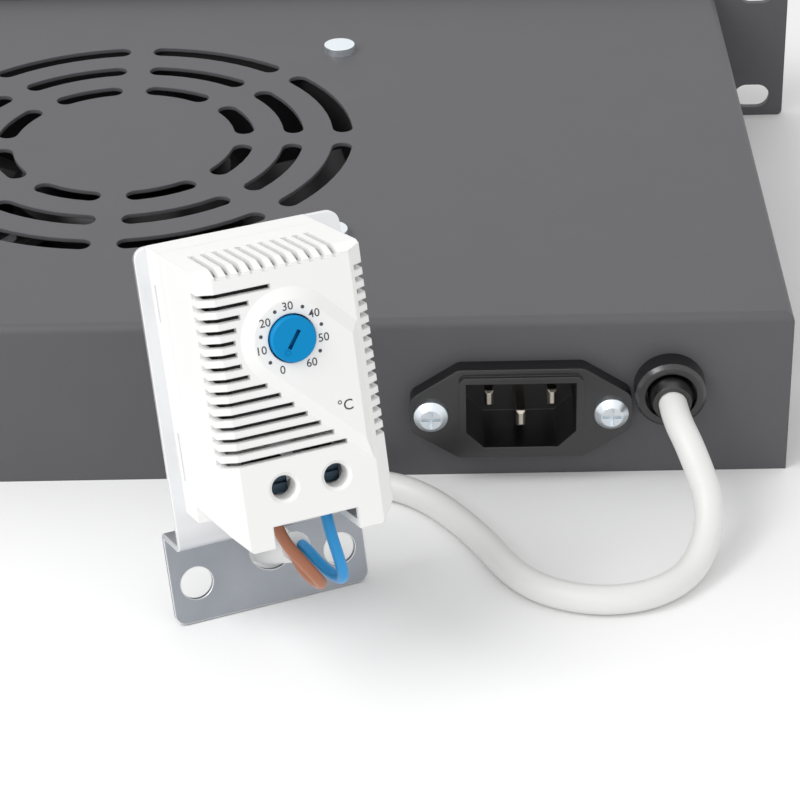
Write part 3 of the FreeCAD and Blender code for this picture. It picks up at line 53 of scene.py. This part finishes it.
# ---- camera: stands behind the tray, above the thermostat, and looks down on the rear wall ----
# The rear wall fills the right half of the view and the thermostat stands before it.
lens = bpy.data.cameras.new("camera_lens")
lens.lens = 121.2
lens.sensor_width = 36.0
lens.clip_start = 0.05
lens.clip_end = 20.0
camera = bpy.data.objects.new("camera", lens)
scene.collection.objects.link(camera)
scene.camera = camera
camera_place = Vector((0.14018, -0.70068, 0.30922))
camera_back = Vector((0.01163, -0.85480, 0.51880)).normalized()
camera_side = Vector((0, 0, 1)).cross(camera_back).normalized()
camera_top = camera_back.cross(camera_side)
tilt = math.radians(-1.4)
side = camera_side * math.cos(tilt) + camera_top * math.sin(tilt)
top = camera_top * math.cos(tilt) - camera_side * math.sin(tilt)
camera.matrix_world = Matrix((
    (side.x, top.x, camera_back.x, camera_place.x),
    (side.y, top.y, camera_back.y, camera_place.y),
    (side.z, top.z, camera_back.z, camera_place.z),
    (0, 0, 0, 1),
))

# ---- studio: a plain pale floor that runs out of sight, a large soft lamp and a pale sky ----
# The floor shows white to the camera and in gloss, and keeps the object's soft shadow.


def shade(hexadecimal):
    """An sRGB hex colour as the linear colour that shaders take."""
    parts = [int(hexadecimal[k:k + 2], 16) / 255 for k in (1, 3, 5)]
    return [p / 12.92 if p <= 0.04045 else ((p + 0.055) / 1.055) ** 2.4 for p in parts] + [1.0]


def add_node(tree, kind, links=(), **settings):
    """A shader node with its settings; links feed its inputs from other nodes' outputs."""
    made = tree.nodes.new(kind)
    for name, value in settings.items():
        if name in made.inputs.keys():
            made.inputs[name].default_value = value
        else:
            setattr(made, name, value)
    for socket, source in links:
        tree.links.new(source, made.inputs[socket])
    return made


def new_material(name):
    """An empty material and its node tree."""
    made = bpy.data.materials.new(name)
    made.use_nodes = True
    made.node_tree.nodes.clear()
    return made, made.node_tree


floor_level = cad_box[0][2]
bpy.ops.object.select_all(action="DESELECT")
bpy.ops.mesh.primitive_plane_add(size=8, location=(0, 0, floor_level))
floor = bpy.context.active_object
floor.name = "floor"
paper, tree = new_material("studio_paper")
diffuse = add_node(tree, "ShaderNodeBsdfDiffuse", Color=shade("#FAFAFA"))
add_node(tree, "ShaderNodeOutputMaterial", [("Surface", diffuse.outputs[0])])
floor.data.materials.append(paper)

sky = bpy.data.worlds.new("studio_sky")
scene.world = sky
sky.use_nodes = True
sky.node_tree.nodes.clear()
rays = add_node(sky.node_tree, "ShaderNodeLightPath")
seen = add_node(sky.node_tree, "ShaderNodeMath", [(0, rays.outputs["Is Camera Ray"]),
                (1, rays.outputs["Is Glossy Ray"])], operation="MAXIMUM")
plain = add_node(sky.node_tree, "ShaderNodeBackground", Color=shade("#FFFFFF"), Strength=0.72)
white = add_node(sky.node_tree, "ShaderNodeBackground", Color=shade("#FFFFFF"), Strength=1.0)
mixed = add_node(sky.node_tree, "ShaderNodeMixShader", [(0, seen.outputs[0]),
                 (1, plain.outputs[0]), (2, white.outputs[0])])
add_node(sky.node_tree, "ShaderNodeOutputWorld", [("Surface", mixed.outputs[0])])


def soft_lamp(name, place, aim, wide, watts):
    """A square area lamp that points from its place at its aim."""
    data = bpy.data.lights.new(name, "AREA")
    data.shape = "SQUARE"
    data.size = wide
    data.energy = watts
    lamp = bpy.data.objects.new(name, data)
    scene.collection.objects.link(lamp)
    lamp.location = place
    lamp.rotation_euler = (Vector(aim) - Vector(place)).to_track_quat("-Z", "Y").to_euler()


inlet_end = (0.1, -0.2, 0.0)
soft_lamp("key_lamp", place=(-0.42, -0.5, 0.7), aim=inlet_end, wide=0.5, watts=4.2)
soft_lamp("front_lamp", place=(-0.1, -1.3, 0.9), aim=inlet_end, wide=0.8, watts=2.0)

# ---- sheet steel tray, lid and front panel: dark powder coat over 1 mm and 2 mm steel ----
# The powder melts into a fine orange-peel skin, which greys the highlights and softens them.
ripple = 0.0001  # metres, the height of a surface's ripple at full strength
mottle_per_metre = 90.0  # patches of slightly uneven colour, about 11 mm wide
mix_first, mix_second, mix_result = 6, 7, 2  # a Mix node's sockets for colours


def coat(name, colour, rough, grain_mm, depth, mottle=0.06, metal=0.0, edge_mm=0.0, sheen=0.5):
    """A coloured surface with a fine ripple at a real grain size and softened edges."""
    made, tree = new_material(name)
    place = add_node(tree, "ShaderNodeTexCoord")
    grain = add_node(tree, "ShaderNodeTexNoise", [("Vector", place.outputs["Object"])],
                     Scale=1000 / grain_mm, Detail=2.0, Roughness=0.5)
    bump = add_node(tree, "ShaderNodeBump", [("Height", grain.outputs[0])],
                    Strength=depth, Distance=ripple)
    if edge_mm:
        edge = add_node(tree, "ShaderNodeBevel", Radius=edge_mm / 1000)
        tree.links.new(edge.outputs[0], bump.inputs["Normal"])
    cloud = add_node(tree, "ShaderNodeTexNoise", [("Vector", place.outputs["Object"])],
                     Scale=mottle_per_metre, Detail=4.0)
    tint = add_node(tree, "ShaderNodeMix", [("Factor", cloud.outputs[0])], data_type="RGBA")
    base = shade(colour)
    darker = [c * (1 - mottle) for c in base[:3]]
    lighter = [min(1.0, c * (1 + mottle)) for c in base[:3]]
    tint.inputs[mix_first].default_value = darker + [1.0]
    tint.inputs[mix_second].default_value = lighter + [1.0]
    surface = add_node(tree, "ShaderNodeBsdfPrincipled", [("Base Color", tint.outputs[mix_result]),
                       ("Normal", bump.outputs[0])], Roughness=rough, Metallic=metal)
    surface.inputs["Specular IOR Level"].default_value = sheen
    add_node(tree, "ShaderNodeOutputMaterial", [("Surface", surface.outputs[0])])
    return made


def finish_node(name, material):
    """Gives a CAD node its finished material."""
    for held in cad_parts[name].material_slots:
        held.material = material


powder_coat = coat("black_powder_coat", "#5A595C", 0.5, 0.8, 0.3, mottle=0.04, edge_mm=0.4,
                   sheen=0.35)
for name in ("chassis", "bottom_lid", "front_panel"):
    finish_node(name, powder_coat)

# ---- fasteners: steel, zinc plated and blue passivated ----
# The plating is bright with a slight blue cast, and a little uneven from barrel plating.
zinc_plate = coat("blue_passivated_zinc", "#EAF1F6", 0.34, 1.2, 0.25, metal=1.0, edge_mm=0.2)
for name in ("panel_screws", "panel_nuts", "lid_screws", "lid_nuts", "fan_screws_right",
             "fan_screws_left", "fan_nuts_right", "fan_nuts_left", "inlet_screws", "inlet_nuts",
             "earth_nut", "earth_ring"):
    finish_node(name, zinc_plate)

# ---- fans: black die-cast frames with black moulded impellers on steel rotors ----
# The casting has a satin paint and the impeller the plain gloss of glass-filled plastic.
casting_paint = coat("black_casting_paint", "#1E1E1F", 0.5, 0.6, 0.4, edge_mm=0.3)
glass_filled = coat("glass_filled_plastic", "#19191A", 0.42, 0.4, 0.25, edge_mm=0.2)
rotor_steel = coat("rotor_steel", "#8C8D90", 0.4, 0.7, 0.2, metal=1.0)
bearing_steel = coat("ground_bearing_steel", "#B9BBBE", 0.18, 0.3, 0.1, metal=1.0)
copper_wire = coat("enamelled_copper_wire", "#A4562B", 0.35, 0.5, 0.9, metal=1.0)
for hand in ("right", "left"):
    finish_node("fan_frame_" + hand, casting_paint)
    finish_node("impeller_" + hand, glass_filled)
    finish_node("rotor_cup_" + hand, rotor_steel)
    finish_node("stator_core_" + hand, rotor_steel)
    finish_node("stator_coils_" + hand, copper_wire)
    finish_node("fan_shaft_" + hand, bearing_steel)
    finish_node("bearing_lower_" + hand, bearing_steel)
    finish_node("bearing_upper_" + hand, bearing_steel)

# ---- appliance inlet and cable gland: black moulded plastic with nickel-plated pins ----
# The mouldings have a fine spark-eroded texture and show grey under soft light.
black_moulding = coat("black_moulded_polyamide", "#0E0D0F", 0.24, 0.35, 0.1, edge_mm=0.3,
                      sheen=1.0)
finish_node("inlet_housing", black_moulding)
finish_node("cable_gland", black_moulding)
nickel = coat("nickel_plate", "#CFC7BC", 0.25, 0.5, 0.15, metal=1.0, edge_mm=0.3)
for name in ("pin_live", "pin_neutral", "pin_earth"):
    finish_node(name, nickel)

# ---- terminal block inside the tray: cream thermoset with brass clamps ----
# It is moulded, slightly glossy, with plain brass at the screws.
terminal_moulding = coat("cream_thermoset", "#D8D3C4", 0.4, 0.4, 0.2, edge_mm=0.3)
finish_node("terminal_block", terminal_moulding)
plain_brass = coat("plain_brass", "#C39A4E", 0.3, 0.5, 0.2, metal=1.0)
finish_node("terminal_block_nuts", plain_brass)

# ---- thermostat works: dark steel screws and clamps as painted shade, and the rolled bimetal strip ----
# Their dark blue-grey, slightly glossy colour is painted shade, so the two screw holes stay dark in
# daylight.
# The bimetal is dull rolled strip, riveted to the switch and free at its other end.
shade_dark_steel = coat("shade_dark_steel", "#3D4C58", 0.35, 0.5, 0.2, metal=1.0, edge_mm=0.15)
finish_node("terminal_screws", shade_dark_steel)
finish_node("terminal_clamps", shade_dark_steel)
rolled_bimetal = coat("rolled_bimetal", "#77736B", 0.4, 0.5, 0.2, metal=1.0)
finish_node("bimetal_strip", rolled_bimetal)

# ---- thermostat bracket: galvanised sheet steel, punched and folded ----
# The plate is clean and pale; the foot is coloured darker as painted shade, with random patches of
# zinc bloom, and the cut edges and bends carry a painted white highlight.
bracket_yaw = math.radians(21.98)
rolling_lines = (60, 900, 900)  # for each metre: lines 1.1 mm apart and 17 mm long
bloom_per_metre = 70.0  # patches of zinc bloom, about 14 mm wide
shade_full_below, shade_gone_above = -0.005, 0.006  # metres, where the painted shade on the foot ends
on_face, on_edge = 0.995, 0.9  # cosine between the rounded and the true normal
galvanised, tree = new_material("galvanised_sheet")
place = add_node(tree, "ShaderNodeTexCoord")
along = add_node(tree, "ShaderNodeMapping", [("Vector", place.outputs["Object"])],
                 Rotation=(0, 0, -bracket_yaw), Scale=rolling_lines)
lines = add_node(tree, "ShaderNodeTexNoise", [("Vector", along.outputs[0])], Scale=1.0, Detail=3.0)
edge = add_node(tree, "ShaderNodeBevel", Radius=0.0004, samples=8)
bump = add_node(tree, "ShaderNodeBump", [("Height", lines.outputs[0]), ("Normal", edge.outputs[0])],
                Strength=0.12, Distance=ripple)
# Painted shade: the foot takes a darker colour below a height of -5 mm and fades into the plate's
# colour by 6 mm.
height = add_node(tree, "ShaderNodeSeparateXYZ", [(0, place.outputs["Object"])])
foot_shade_fade = add_node(tree, "ShaderNodeMapRange", [("Value", height.outputs[2])],
                 **{"From Min": shade_full_below, "From Max": shade_gone_above})
bloom = add_node(tree, "ShaderNodeTexNoise", [("Vector", place.outputs["Object"])],
                 Scale=bloom_per_metre, Detail=4.0)
shaded_foot = add_node(tree, "ShaderNodeMix", [("Factor", bloom.outputs[0])], data_type="RGBA")
shaded_foot.inputs[mix_first].default_value = shade("#8B9098")
shaded_foot.inputs[mix_second].default_value = shade("#AEB2B7")
tone = add_node(tree, "ShaderNodeMix", [("Factor", foot_shade_fade.outputs[0]),
                (mix_first, shaded_foot.outputs[mix_result])], data_type="RGBA")
tone.inputs[mix_second].default_value = shade("#E9EAEC")
# Painted highlight: where the rounded normal turns away from the true one, at cut edges and bends,
# the colour runs to white.
shape = add_node(tree, "ShaderNodeNewGeometry")
turned = add_node(tree, "ShaderNodeVectorMath", [(0, edge.outputs[0]),
                  (1, shape.outputs["Normal"])], operation="DOT_PRODUCT")
painted_edge_highlight = add_node(tree, "ShaderNodeMapRange", [("Value", turned.outputs["Value"])],
                     **{"From Min": on_face, "From Max": on_edge})
edge_highlight_mix = add_node(tree, "ShaderNodeMix", [("Factor", painted_edge_highlight.outputs[0]),
                (mix_first, tone.outputs[mix_result])], data_type="RGBA")
edge_highlight_mix.inputs[mix_second].default_value = shade("#FFFFFF")
surface = add_node(tree, "ShaderNodeBsdfPrincipled", [("Normal", bump.outputs[0]),
                   ("Base Color", edge_highlight_mix.outputs[mix_result])], Metallic=1.0, Roughness=0.42)
add_node(tree, "ShaderNodeOutputMaterial", [("Surface", surface.outputs[0])])
finish_node("thermostat_bracket", galvanised)

# ---- thermostat housing: white self-extinguishing plastic, base, cover and rail clip ----
# Moulded with a fine matt texture; edges are slightly rounded and catch the light.
white_moulding = coat("white_moulded_polycarbonate", "#F0F0EF", 0.48, 0.3, 0.2, mottle=0.015,
                      edge_mm=0.35)
for name in ("thermostat_cover", "thermostat_base", "rail_clip", "knob_spindle"):
    finish_node(name, white_moulding)
switch_moulding = coat("grey_switch_moulding", "#4A4B4D", 0.5, 0.4, 0.2)
finish_node("switch_module", switch_moulding)

# ---- temperature knob: blue acetal cap with a driver slot and a small pointer ----
# Acetal is slightly waxy and even in colour; painted shade darkens it in the slot and round the
# pointer.
blue_acetal = coat("blue_acetal", "#0A88C4", 0.38, 0.3, 0.12, mottle=0.03, edge_mm=0.15, sheen=0.1)
tree = blue_acetal.node_tree
surface = tree.nodes["Principled BSDF"]
blue = surface.inputs["Base Color"].links[0].from_socket
# Painted shade: ambient occlusion darkens the blue towards #0A4A7C in the slot and round the
# pointer.
nook = add_node(tree, "ShaderNodeAmbientOcclusion", samples=8, only_local=True, Distance=0.0012)
depth = add_node(tree, "ShaderNodeMapRange", [("Value", nook.outputs["AO"])],
                 **{"From Min": 0.2, "From Max": 0.8})
shaded = add_node(tree, "ShaderNodeMix", [("Factor", depth.outputs[0]), (mix_second, blue)],
                  data_type="RGBA")
shaded.inputs[mix_first].default_value = shade("#0A4A7C")
tree.links.new(shaded.outputs[mix_result], surface.inputs["Base Color"])
finish_node("temperature_knob", blue_acetal)

# ---- dial print: numerals, dots and the degree sign, pad-printed in dark grey ----
# The ink is a thin raised film on the dial's flat field, set round the knob's axis.
# The thermostat's own frame is its origin and its directions across, up and out of its plate;
# the dial's places and sizes are in millimetres in that frame, and its angles run from across.
stand_origin = Vector((0.1063, -0.2434, 0.0047))
stand_across = Vector((0.92730, 0.37430, 0.0))
stand_up = Vector((-0.10599, 0.26259, 0.95907))
stand_out = Vector((0.35899, -0.88937, 0.28318))
dial_axis = (0.0, 44.8)
field_level = 35.6
ink_film = 0.03
text_raise = 0.02
numeral_ring, numeral_high = 6.25, 1.6
dot_ring, dot_radius = 6.2, 0.36
degree_place, degree_high = (8.6, 29.8), 2.2


def on_stand(across, up, out):
    """The point in metres that lies these millimetres across, up and out of the plate."""
    return stand_origin + (stand_across * across + stand_up * up + stand_out * out) / 1000


def on_ring(radius, angle):
    """The place across and up on the dial's field, at an angle about the knob's axis."""
    turn = math.radians(angle)
    return dial_axis[0] + radius * math.cos(turn), dial_axis[1] + radius * math.sin(turn)


def print_place(place):
    """The matrix that carries a flat mark in millimetres onto a place of the dial's field."""
    spot = on_stand(*place, field_level)
    return Matrix((
        (stand_across.x / 1000, stand_up.x / 1000, stand_out.x / 1000, spot.x),
        (stand_across.y / 1000, stand_up.y / 1000, stand_out.y / 1000, spot.y),
        (stand_across.z / 1000, stand_up.z / 1000, stand_out.z / 1000, spot.z),
        (0, 0, 0, 1),
    ))


def printed_text(words, place, high):
    """Words as a thin closed mesh of a given height, centred on a place of the field."""
    bpy.ops.object.select_all(action="DESELECT")
    bpy.ops.object.text_add(location=(0, 0, 0))
    mark = bpy.context.active_object
    mark.data.body = words
    mark.data.resolution_u = 4
    mark.data.offset = 0.003
    mark.data.extrude = text_raise
    bpy.ops.object.convert(target="MESH")
    mark = bpy.context.active_object
    corners = [v.co.copy() for v in mark.data.vertices]
    left, right = min(c.x for c in corners), max(c.x for c in corners)
    low, top = min(c.y for c in corners), max(c.y for c in corners)
    scale = high / (top - low)
    mark.data.transform(print_place(place)
                        @ Matrix.Diagonal((scale, scale, ink_film / text_raise, 1))
                        @ Matrix.Translation((-(left + right) / 2, -(low + top) / 2, 0)))
    return mark


marks = []
for words, angle in (("0", 244.4), ("10", 191), ("20", 141), ("30", 90.4), ("40", 38.6),
                     ("50", -10), ("60", -59.6)):
    marks.append(printed_text(words, on_ring(numeral_ring, angle), numeral_high))
marks.append(printed_text("\u00b0C", degree_place, degree_high))
for angle in (217.6, 166.6, 115.5, 63, 13.7, -35):
    bpy.ops.object.select_all(action="DESELECT")
    bpy.ops.mesh.primitive_circle_add(vertices=20, radius=dot_radius, fill_type="NGON",
                                      location=(0, 0, -ink_film))
    dot = bpy.context.active_object
    bpy.ops.object.transform_apply(location=True)
    bpy.ops.object.mode_set(mode="EDIT")
    bpy.ops.mesh.select_all(action="SELECT")
    bpy.ops.mesh.extrude_region_move(TRANSFORM_OT_translate={"value": (0, 0, 2 * ink_film)})
    bpy.ops.mesh.select_all(action="SELECT")
    bpy.ops.mesh.normals_make_consistent(inside=False)
    bpy.ops.object.mode_set(mode="OBJECT")
    dot.data.transform(print_place(on_ring(dot_ring, angle)))
    marks.append(dot)
bpy.ops.object.select_all(action="DESELECT")
for mark in marks:
    mark.select_set(True)
bpy.context.view_layer.objects.active = marks[0]
bpy.ops.object.join()
dial_print = bpy.context.active_object
dial_print.name = "dial_print"
dial_print.data.materials.clear()
dial_print.data.materials.append(coat("grey_dial_ink", "#424347", 0.55, 0.2, 0.1))
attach(dial_print, "tray")

# ---- wiring inside the tray: flexible leads with plain PVC insulation ----
# The sheaths have a soft satin gloss; the earth lead is half green and half yellow.
black_pvc = coat("black_pvc", "#202021", 0.45, 0.6, 0.3)
white_pvc = coat("white_pvc", "#EAEAE8", 0.4, 0.6, 0.2, mottle=0.02)
brown_pvc = coat("brown_pvc", "#A8694A", 0.35, 0.6, 0.15)
blue_pvc = coat("blue_pvc", "#1B94D6", 0.35, 0.6, 0.15)
earth_pvc, tree = new_material("green_yellow_pvc")
facing = add_node(tree, "ShaderNodeNewGeometry")
upward = add_node(tree, "ShaderNodeSeparateXYZ", [(0, facing.outputs["Normal"])])
upper = add_node(tree, "ShaderNodeMath", [(0, upward.outputs[2])], operation="GREATER_THAN")
upper.inputs[1].default_value = 0.1
stripe = add_node(tree, "ShaderNodeMix", [("Factor", upper.outputs[0])], data_type="RGBA")
stripe.inputs[mix_first].default_value = shade("#2E8B3A")
stripe.inputs[mix_second].default_value = shade("#E3C72A")
surface = add_node(tree, "ShaderNodeBsdfPrincipled", [("Base Color", stripe.outputs[mix_result])],
                   Roughness=0.4)
add_node(tree, "ShaderNodeOutputMaterial", [("Surface", surface.outputs[0])])
finish_node("fan_lead_right", black_pvc)
finish_node("fan_lead_left", black_pvc)
finish_node("thermostat_lead_tail", white_pvc)
finish_node("lead_live", brown_pvc)
finish_node("lead_neutral", blue_pvc)
finish_node("lead_earth", earth_pvc)

# ---- outside lead: white round PVC sheath from the gland to the front of the bracket ----
# It bends down out of the gland, lies in one open curve along the wall's foot and rises through
# the middle hole of the bracket's foot. Its sheath is cut back there and the two cores run on.


def lead_piece(name, points, wide, material):
    """A round lead whose centreline is a smooth spline steered by its route's points."""
    line = bpy.data.curves.new(name, "CURVE")
    line.dimensions = "3D"
    line.resolution_u = 12
    line.bevel_depth = wide / 2
    line.bevel_resolution = 6
    line.use_fill_caps = True
    spline = line.splines.new("NURBS")
    spline.points.add(len(points) - 1)
    for held, point in zip(spline.points, points):
        held.co = (point[0], point[1], point[2], 1.0)
    spline.order_u = 3
    spline.use_endpoint_u = True
    line.materials.append(material)
    piece = bpy.data.objects.new(name, line)
    scene.collection.objects.link(piece)
    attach(piece, "tray")
    return piece


sheath_wide = 0.0063
floor_line = floor_level + sheath_wide / 2
sheath_route = [
    (0.1930, -0.1915, 0.0010), (0.1930, -0.2010, 0.0010), (0.1961, -0.2105, -0.0021),
    (0.2002, -0.2196, -0.0116), (0.1962, -0.2309, floor_line), (0.1866, -0.2408, floor_line),
    (0.1729, -0.2430, floor_line), (0.1587, -0.2362, floor_line), (0.1493, -0.2160, floor_line),
    (0.1363, -0.1989, floor_line), (0.1224, -0.1949, floor_line), (0.1118, -0.1973, floor_line),
    (0.1043, -0.2033, floor_line), (0.1002, -0.2114, -0.0177), (0.0997, -0.2201, -0.0160),
    on_stand(2.4, -13.4, -20), on_stand(2.9, -9.6, -5.8), on_stand(3.0, -5.4, 7.5),
]
sheath = lead_piece("white_lead", sheath_route, sheath_wide, white_pvc)
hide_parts("thermostat_lead")

# ---- cores: one brown and one blue, from the sheath's cut end into the terminal holes ----
# Each is stranded copper in a thin satin insulation and bulges forward before it turns up.
core_wide = 0.0024
brown_route = [on_stand(*point) for point in (
    (1.7, -5.4, 7.5), (1.3, -5.3, 11.0), (1.8, -8.3, 14.6), (3.3, -10.3, 18.4),
    (2.9, -8.8, 22.8), (-0.6, -3.6, 25), (-4.6, 2.8, 24.4), (-5.3, 9.2, 23), (-5.3, 15.5, 23))]
blue_route = [on_stand(*point) for point in (
    (4.3, -5.4, 7.5), (4.2, -5.3, 11.1), (5.6, -8.1, 14.4), (7.4, -10.1, 18.2),
    (7.6, -8.8, 22.6), (6.3, -3.6, 25), (5.3, 2.8, 24.4), (5.3, 9.2, 23), (5.3, 15.5, 23))]
brown_core = lead_piece("brown_core", brown_route, core_wide, brown_pvc)
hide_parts("core_brown")
blue_core = lead_piece("blue_core", blue_route, core_wide, blue_pvc)
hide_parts("core_blue")
